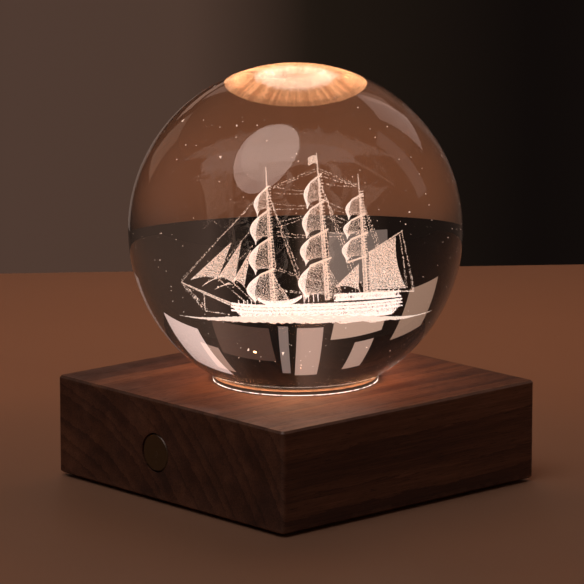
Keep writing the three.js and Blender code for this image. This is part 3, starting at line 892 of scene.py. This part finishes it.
def yard(work, mast, height, half, radius=0.13):
    """A yard across the mast, braced round."""
    aside = Vector((half * math.sin(YARD_BRACE), half * math.cos(YARD_BRACE), 0))
    middle = Vector((mast, 0, height))
    pole(work, middle - aside, middle + aside, radius)


def abreast(point, side=0.0):
    """A point given as (aft, up), some way to one side of the ship's middle line."""
    return Vector((point[0], side, point[1]))


def staysail(work, tack, head, clew, belly):
    """A three-cornered sail in the fore-and-aft line."""

    def shape(u, v):
        foot = abreast(tack).lerp(abreast(clew), u)
        point = foot.lerp(abreast(head), v)
        point.y += belly * math.sin(math.pi * u) * (1 - v)
        point.z += 0.35 * math.sin(math.pi * u) * (1 - v) ** 3
        return point

    sheet(work, 12, 14, shape)


# Each mast's foot and truck, as (aft, up)
MASTS = {
    "fore": ((-3.45, -10.8), (-3.45, 10.75)),
    "main": ((5.0, -11.1), (4.9, 12.75)),
    "mizzen": ((11.1, -10.9), (11.4, 8.8)),
}
MAST_BANDS = 38

# Square sails from the top down: foot, head, half width at each, and how far they reach forward
SQUARE_SAILS = {
    "fore": [
        (3.2, 6.97, 3.0, 2.3, 2.25),
        (-1.3, 3.2, 3.7, 3.0, 3.0),
        (-6.2, -1.3, 4.2, 3.7, 3.4),
        (-10.9, -6.2, 4.6, 4.2, 3.95),
    ],
    "main": [
        (4.0, 8.4, 3.2, 2.4, 2.5),
        (-0.7, 4.0, 3.9, 3.2, 3.0),
        (-5.1, -0.7, 4.4, 3.9, 3.6),
        (-10.65, -5.1, 4.8, 4.4, 4.2),
    ],
    "mizzen": [
        (1.65, 4.95, 2.6, 2.0, 2.4),
        (-1.4, 1.65, 3.1, 2.6, 2.9),
        (-5.1, -1.4, 3.5, 3.1, 3.3),
    ],
}


# Staysails: tack, head and clew as (aft, up), then the belly
STAYSAILS = (
    ((-16.5, -6.9), (-9.4, -1.1), (-11.9, -6.8), 0.5),
    ((-11.9, -6.7), (-7.9, -1.2), (-9.3, -7.8), 0.5),
    ((-9.5, -7.3), (-6.4, -2.5), (-7.8, -8.3), 0.5),
    ((-14.6, -8.0), (-12.2, -6.6), (-11.9, -6.9), 0.2),
    ((-12.6, -8.6), (-10.2, -7.5), (-9.6, -7.9), 0.2),
    ((6.3, -9.2), (10.3, -5.8), (10.0, -9.9), 0.5),
)

# The spanker's corners: tack, clew, throat and peak
SPANKER = ((11.7, -10.0), (17.8, -10.3), (12.0, -4.2), (16.7, -1.9))

# Bowsprit, gaff, boom and dolphin striker: the two ends and the radius at each
BOW_TIP = (-18.1, -7.2)
POLES = (
    ((-9.7, -11.1), BOW_TIP, 0.26, 0.09),
    ((12.0, -4.2), (17.9, -1.0), 0.14, 0.08),
    ((11.8, -10.2), (19.2, -11.0), 0.14, 0.08),
    ((-14.3, -9.0), (-14.3, -11.9), 0.08, 0.05),
)

# Rigging in the middle line or in pairs beside it: the two ends of each line
STAYS = (((-3.8, 3.3), (-13.9, -7.6)), ((-3.8, 0.2), (-11.9, -7.2)), ((-4.2, -1.4), (-9.6, -8.4)))
JIB_SHEETS = (((-11.9, -6.8), (-7.4, -11)), ((-9.3, -7.8), (-6.2, -11)), ((-7.8, -8.3), (-5.4, -11)))
BOBSTAYS = (
    ((-18.0, -7.3), (-14.3, -11.9)),
    ((-14.3, -11.9), (-10.3, -12.6)),
    ((-17.2, -7.9), (-14.0, -11.6)),
)
BRACES = (
    ((-2.6, 4.2), (4.4, 3.9)),
    ((-2.4, 6.9), (4.4, 6.2)),
    ((-2.3, -0.2), (4.6, -1.0)),
    ((-2.2, 1.2), (4.8, 3.2)),
    ((-2.8, -5.6), (4.3, -8.2)),
    ((-2.4, -9.0), (4.2, -9.9)),
    ((5.6, 8.1), (11.0, 6.9)),
    ((5.7, 4.1), (11.0, 2.1)),
    ((5.6, -0.8), (11.0, -0.9)),
    ((5.9, 2.4), (11.1, 0.2)),
)
MAST_TOPS = ((-3.55, 7.3), (4.9, 10.1), (11.2, 6.95))

# Shrouds: where the lower ones end on the mast, and how far aft of it they spread at the rail
SHROUDS = {"fore": (-6.2, 2.6), "main": (-5.1, 2.6), "mizzen": (-1.6, 2.0)}
SHROUD_SIDE = 2.3
RAIL = -10.9

# Hull and deck
HULL_BOW = -10.0
HULL_STERN = 16.6
HULL_DEPTH = 2.3
RAIL_STEPS = 24
DECK_POSTS = (-8.9, -8.1, -7.5, -6.9, 1.4, 2.1, 2.9, 3.6, 8.6, 12.9, 15.1)
DECKHOUSES = ((6.4, 8.2, 0.75), (9.0, 12.4, 0.95), (13.2, 16.0, 0.6))
DECKHOUSE_FLOOR = -11.4


def mast_at(name, height):
    """The mast's place in the fore-and-aft line at a height."""
    (low_aft, low), (high_aft, high) = MASTS[name]
    return low_aft + (high_aft - low_aft) * (height - low) / (high - low)


def engrave_square_sails(material, edge_material):
    """The sails of the three masts, one cloud to a mast, and their denser weather edges."""
    edges = bmesh.new()
    for name, sails in SQUARE_SAILS.items():
        work = bmesh.new()
        for sail in sails:
            square_sail(work, edges, name, *sail)
        engrave(f"engraved_{name}_sails", work, material)
    engrave("engraved_weather_edges", edges, edge_material)


def engrave_fore_and_aft_sails(material):
    """Jibs, the mizzen staysail and the spanker."""
    work = bmesh.new()
    for sail in STAYSAILS:
        staysail(work, *sail)
    corners = [abreast(corner) for corner in SPANKER]

    def spanker(u, v):
        low = corners[0].lerp(corners[1], u)
        high = corners[2].lerp(corners[3], u)
        point = low.lerp(high, v)
        point.y += 0.9 * math.sin(math.pi * u) * math.sin(math.pi * v)
        point.x -= 0.7 * u * math.sin(math.pi * v)
        return point

    sheet(work, 16, 18, spanker)
    engrave("engraved_fore_and_aft_sails", work, material)


def half_beam(share):
    """Half the hull's width at a share of its length from the bow."""
    fore = 1 - max(0.0, 1 - share / 0.34) ** 2.0
    aft = 1 - 0.45 * max(0.0, (share - 0.72) / 0.28) ** 2.0
    return 2.6 * fore * aft + 0.05


def hull_at(share):
    """The place along the ship at a share of the hull's length from the bow."""
    return HULL_BOW + (HULL_STERN - HULL_BOW) * share


def deck_line(share):
    """The height of the rail along the hull: it sweeps up at the bow and steps up aft."""
    bow_lift = 0.5 * max(0.0, 1 - share / 0.25) ** 2
    stern_lift = 0.25 * max(0.0, (share - 0.6) / 0.4) ** 2
    return DECK_HEIGHT - 0.3 - 0.9 * share + bow_lift + stern_lift


def engrave_hull(material):
    """Hull, deck and rails."""
    work = bmesh.new()

    def shell(u, v):
        angle = math.pi * v
        under = math.sin(angle)
        rake = 1.6 * max(0.0, 1 - u / 0.2) - 1.5 * max(0.0, (u - 0.85) / 0.15)
        height = deck_line(u) - HULL_DEPTH * under**0.7
        return Vector((hull_at(u) + rake * under, half_beam(u) * math.cos(angle), height))

    def deck(u, v):
        return Vector((hull_at(u), half_beam(u) * (2 * v - 1), deck_line(u) - 0.1))

    sheet(work, 40, 14, shell)
    sheet(work, 30, 6, deck)
    for side in (-1, 1):
        for drop in (0.0, 0.55, 1.1):
            shares = [i / RAIL_STEPS for i in range(RAIL_STEPS + 1)]
            line = [(hull_at(s), side * half_beam(s) * 1.01, deck_line(s) - drop) for s in shares]
            for start, end in zip(line, line[1:]):
                rope(work, start, end, radius=0.09)
    engrave("engraved_hull", work, material)


def deckhouse(work, fore, aft, side, height):
    """One side of a low house on the quarterdeck."""

    def wall(u, v):
        return Vector((fore + (aft - fore) * u, side, DECKHOUSE_FLOOR + height * v))

    sheet(work, 4, 2, wall)


def engrave_deck_gear(material):
    """Deckhouses, posts, the rail of the quarterdeck and the boat."""
    work = bmesh.new()

    def boat(u, v):
        angle = math.pi * v
        ends = abs(2 * u - 1)
        width = 0.9 * math.sin(math.pi * min(1, max(0, u))) ** 0.6
        height = -10.75 + 0.75 * ends**3 - 0.75 * math.sin(angle) * (1 - 0.5 * ends**2)
        return Vector((-5.9 + 7.0 * u, width * math.cos(angle) - 1.2, height))

    sheet(work, 24, 8, boat)
    for side in (-1, 1):
        rope(work, (6.2, side * 1.7, -10.45), (16.4, side * 1.7, -10.75), 0.1)
        rope(work, (6.2, side * 1.7, -11.2), (16.4, side * 1.7, -11.5), 0.1)
        for i in range(12):
            along = 6.6 + i * 0.86
            rope(work, (along, side * 1.7, -11.4), (along, side * 1.7, -10.4), 0.04)
        for fore, aft, height in DECKHOUSES:
            deckhouse(work, fore, aft, side * 1.4, height)
    for along in DECK_POSTS:
        rope(work, (along, -1.0, -11.2), (along, -1.0, -10.1 if along > 0 else -10.4), 0.04)
    engrave("engraved_deck_gear", work, material)


def engrave_sea(material):
    """The patch of sea that the ship stands in, a long leaf with a wavy rim."""
    work = bmesh.new()
    bow_tip, stern_tip, widest = -19.6, 23.8, 8.0

    def water(u, v, layer):
        along = bow_tip + (stern_tip - bow_tip) * u
        side = 2 * v - 1
        taper = math.sin(math.pi * min(1.0, max(0.0, u))) ** 1.35
        ripple = 1 + 0.07 * math.sin(along * 1.9) + 0.05 * math.sin(along * 4.3 + side)
        wave = 0.16 * math.sin(along * (1.3 + 0.4 * layer) + side * 3.0 + layer)
        wave += 0.12 * math.sin(along * (3.1 + 0.7 * layer) - side * 5.0 + 2 * layer)
        lift = 0.36 * (abs(2 * u - 1)) ** 3 + 0.22 * layer * taper
        return Vector((along, widest * taper * ripple * side, SEA_LEVEL + wave * taper + lift))

    sheet(work, 70, 16, lambda u, v: water(u, v, 0))
    for layer in range(1, SEA_LAYERS):
        reach = 0.92 - 0.09 * layer
        sheet(work, 70, 10, lambda u, v: water(0.47 + (u - 0.5) * reach, v, layer))
    engrave("engraved_sea", work, material, level=True)


def engrave_spars(material):
    """Masts, yards, bowsprit, gaff, boom and the flag at the main truck."""
    work = bmesh.new()
    for name, ((low_aft, low), (high_aft, high)) in MASTS.items():
        middle = low + (high - low) * 0.45
        pole(work, (low_aft, 0, low), (mast_at(name, middle), 0, middle), 0.38, 0.30)
        pole(work, (mast_at(name, middle), 0, middle), (high_aft, 0, high), 0.26, 0.05)
        for i in range(MAST_BANDS):
            height = low + (high - low) * 0.86 * (i + 0.5) / MAST_BANDS
            centre = Vector((mast_at(name, height), 0, height))
            rope(work, centre, centre + Vector((0.62, 0, 0.05)), 0.07)
        for foot, head, foot_half, head_half, reach in SQUARE_SAILS[name]:
            yard(work, mast_at(name, head) - 0.18 * reach, head, head_half)
    foot, head, foot_half, head_half, reach = SQUARE_SAILS["mizzen"][-1]
    yard(work, mast_at("mizzen", foot) - 0.38 * reach, foot, foot_half)
    for start, end, radius, end_radius in POLES:
        pole(work, abreast(start), abreast(end), radius, end_radius)
    engrave("engraved_spars", work, material)

    def waving(u, v):
        return Vector((4.95 - 1.5 * u, 0.2 * math.sin(5 * u), 10.8 + 1.4 * v + 0.15 * math.sin(4 * u)))

    flag = bmesh.new()
    sheet(flag, 8, 6, waving)
    engrave("engraved_flag", flag, material)


def engrave_rigging(material):
    """Stays, shrouds with ratlines, backstays, braces and sheets."""
    work = bmesh.new()
    fore_top, main_top, mizzen_top = MAST_TOPS
    for shift in (0.0, 0.35):
        for start, end, rise in (
            (fore_top, BOW_TIP, shift),
            (main_top, (fore_top[0] + 0.6, fore_top[1]), -shift),
            (main_top, mizzen_top, -shift),
        ):
            rope(work, (start[0], 0, start[1] - shift), (end[0], 0, end[1] + rise))
    for head, tack in STAYS:
        rope(work, abreast(head), abreast(tack))
    for clew, deck in JIB_SHEETS:
        for side in (-0.8, 0.8):
            rope(work, abreast(clew), abreast(deck, side))
    for start, end in BOBSTAYS:
        for side in (1, -1):
            rope(work, abreast(start, side * 0.3), abreast(end, side * 0.5))
    for name, (cross, reach) in SHROUDS.items():
        foot = MASTS[name][0][0]
        peak = SQUARE_SAILS[name][0][1]
        for side in (-1, 1):
            beam = side * SHROUD_SIDE
            top = (mast_at(name, cross), side * 0.3, cross)
            ladder(work, (foot + 0.6, beam, RAIL), (foot + reach, beam, RAIL), top, 22)
            upper = (mast_at(name, peak), side * 0.2, peak)
            middle = mast_at(name, cross)
            ladder(work, (middle + 0.2, side * 0.9, cross), (middle + 0.8, side * 0.9, cross), upper, 10)
            for extra in (0.0, 0.7):
                rope(work, upper, (foot + reach + 2.4 + extra, beam, RAIL))
    for start, end in BRACES:
        for side in (-1, 1):
            rope(work, abreast(start, side * 2.0), abreast(end, side * 0.4), sag=0.25)
    for aside in (-0.4, 0.4):
        rope(work, (17.8, 0, -1.1), (19.1, aside, -10.9))
        rope(work, (17.4, 0, -1.6), (17.9, aside, -10.3))
    engrave("engraved_rigging", work, material)


def engrave_specks(material):
    """A few stray marks and tiny seeds in the glass round the ship."""
    work = bmesh.new()
    for radius in (14, 22, 30, 36):
        bmesh.ops.create_icosphere(work, subdivisions=3, radius=radius)
    engrave("specks_in_glass", work, material, level=True)


def engrave_ship():
    """Everything lasered into the ball."""
    marks = {name: laser_mark_material(name, *glow) for name, glow in MARK_GLOWS.items()}
    engrave_square_sails(marks["sail_marks"], marks["edge_marks"])
    engrave_fore_and_aft_sails(marks["sail_marks"])
    engrave_hull(marks["hull_marks"])
    engrave_deck_gear(marks["hull_marks"])
    engrave_sea(marks["sea_marks"])
    engrave_spars(marks["line_marks"])
    engrave_rigging(marks["line_marks"])
    engrave_specks(marks["line_marks"])


# ---------------- studio


def heading(azimuth, elevation=0.0):
    """The unit vector from the lamp towards a place round it, in degrees as the views count them."""
    around, up = math.radians(azimuth), math.radians(elevation)
    return Vector((math.sin(around) * math.cos(up), -math.cos(around) * math.cos(up), math.sin(up)))


def make_camera():
    """The camera at its angle to the lamp."""
    data = bpy.data.cameras.new("camera")
    data.sensor_width = SENSOR_WIDTH
    data.lens = CAMERA_LENS
    camera = bpy.data.objects.new("camera", data)
    back = heading(CAMERA_AZIMUTH, CAMERA_ELEVATION)
    aim = Vector((0, 0, CAMERA_AIM_HEIGHT)) + heading(CAMERA_AZIMUTH + 90) * CAMERA_AIM_ASIDE
    camera.location = aim + back * CAMERA_DISTANCE
    camera.rotation_euler = back.to_track_quat("Z", "Y").to_euler()
    bpy.context.collection.objects.link(camera)
    bpy.context.scene.camera = camera


def make_floor():
    """A plain pale table top, whose far edge passes close behind the lamp."""
    work = bmesh.new()
    turn = heading(FLOOR_EDGE_AZIMUTH).to_track_quat("Y", "Z").to_matrix().to_4x4()
    size = Matrix.Diagonal((FLOOR_WIDTH, FLOOR_DEPTH, FLOOR_THICKNESS, 1))
    centre = Matrix.Translation((0, FLOOR_EDGE_BEHIND - FLOOR_DEPTH / 2, -FLOOR_THICKNESS / 2))
    bmesh.ops.create_cube(work, size=1, matrix=turn @ centre @ size)
    floor = new_piece("pale_floor", work, [floor_material()])


def aimed(place, data):
    """A lamp at a place, facing the middle of the glass ball."""
    lamp = bpy.data.objects.new(data.name, data)
    lamp.location = place
    lamp.rotation_euler = (Vector(place) - BALL_CENTRE).to_track_quat("Z", "Y").to_euler()
    bpy.context.collection.objects.link(lamp)
    return lamp


def soft_panel(name, azimuth, elevation, across, up, brightness, colour, shape="RECTANGLE"):
    """A soft panel in a direction from the ball; its spread across and up is in degrees."""
    data = bpy.data.lights.new(name, "AREA")
    data.shape = shape
    data.size = 2 * PANEL_DISTANCE * math.tan(math.radians(across) / 2)
    data.size_y = 2 * PANEL_DISTANCE * math.tan(math.radians(up) / 2)
    data.energy = brightness * math.pi * data.size * data.size_y
    data.color = colour
    return aimed(BALL_CENTRE + heading(azimuth, elevation) * PANEL_DISTANCE, data)


def hide_light(lamp):
    """Keeps a light's own shape out of sight, both directly and in the glass."""
    lamp.visible_camera = False
    lamp.visible_transmission = False
    lamp.visible_glossy = False


def hidden_glow(name, place, power, radius, colour):
    """A warm glow from inside the lamp, which is felt but not seen."""
    data = bpy.data.lights.new(name, "POINT")
    data.energy = power
    data.shadow_soft_size = radius
    data.color = colour
    lamp = bpy.data.objects.new(name, data)
    lamp.location = place
    bpy.context.collection.objects.link(lamp)
    hide_light(lamp)


def light_the_lamp():
    """Light that the LED throws in the well, and that the engraving throws on the wood."""
    well = Vector((0, 0, WINDOW_HIGH.z + 0.002))
    hidden_glow("well_glow", well, 0.010, 0.006, LAMP_WARM)
    hidden_glow("ball_glow", BALL_CENTRE - Vector((0, 0, 0.024)), 0.095, 0.008, LAMP_WARM)


def make_room():
    """A dim room all round: lighter behind on the left, dark on the right."""
    world = bpy.data.worlds.new("dim_room")
    world.use_nodes = True
    tree = world.node_tree
    way = node(tree, "ShaderNodeTexCoord").outputs["Generated"]
    across = {0: way, 1: heading(CAMERA_AZIMUTH + 90)}
    aside = node(tree, "ShaderNodeVectorMath", across, operation="DOT_PRODUCT").outputs["Value"]
    shade = colour_ramp(tree, span(tree, aside, -0.5, 0.5, smooth=False), ROOM_TONES)
    feed(tree, tree.nodes["Background"], {"Color": shade})
    bpy.context.scene.world = world


def wash_the_table():
    """A warm light close behind the lamp, straight down on the table."""
    data = bpy.data.lights.new("table_wash", "AREA")
    data.shape = "RECTANGLE"
    data.size, data.size_y = WASH_SIZE
    data.energy = WASH_POWER
    data.color = LAMP_WARM
    lamp = aimed(heading(CAMERA_AZIMUTH + 180) * WASH_BEHIND + Vector((0, 0, WASH_HEIGHT)), data)
    lamp.rotation_euler = (0, 0, math.radians(CAMERA_AZIMUTH))
    hide_light(lamp)


def light_the_studio():
    """A soft key above, a warm wash on the table behind, and dim panels that only show in the glass."""
    soft_panel("key_panel", 14, 62, 34, 42, 0.85, SOFT_WHITE, "ELLIPSE")
    wash_the_table()
    for panel in GLASS_PANELS:
        soft_panel(*panel).visible_diffuse = False


make_camera()
make_room()
light_the_studio()
light_the_lamp()
make_floor()
dress_nodes()
make_ball()
engrave_ship()
bpy.context.scene.view_settings.view_transform = "Standard"
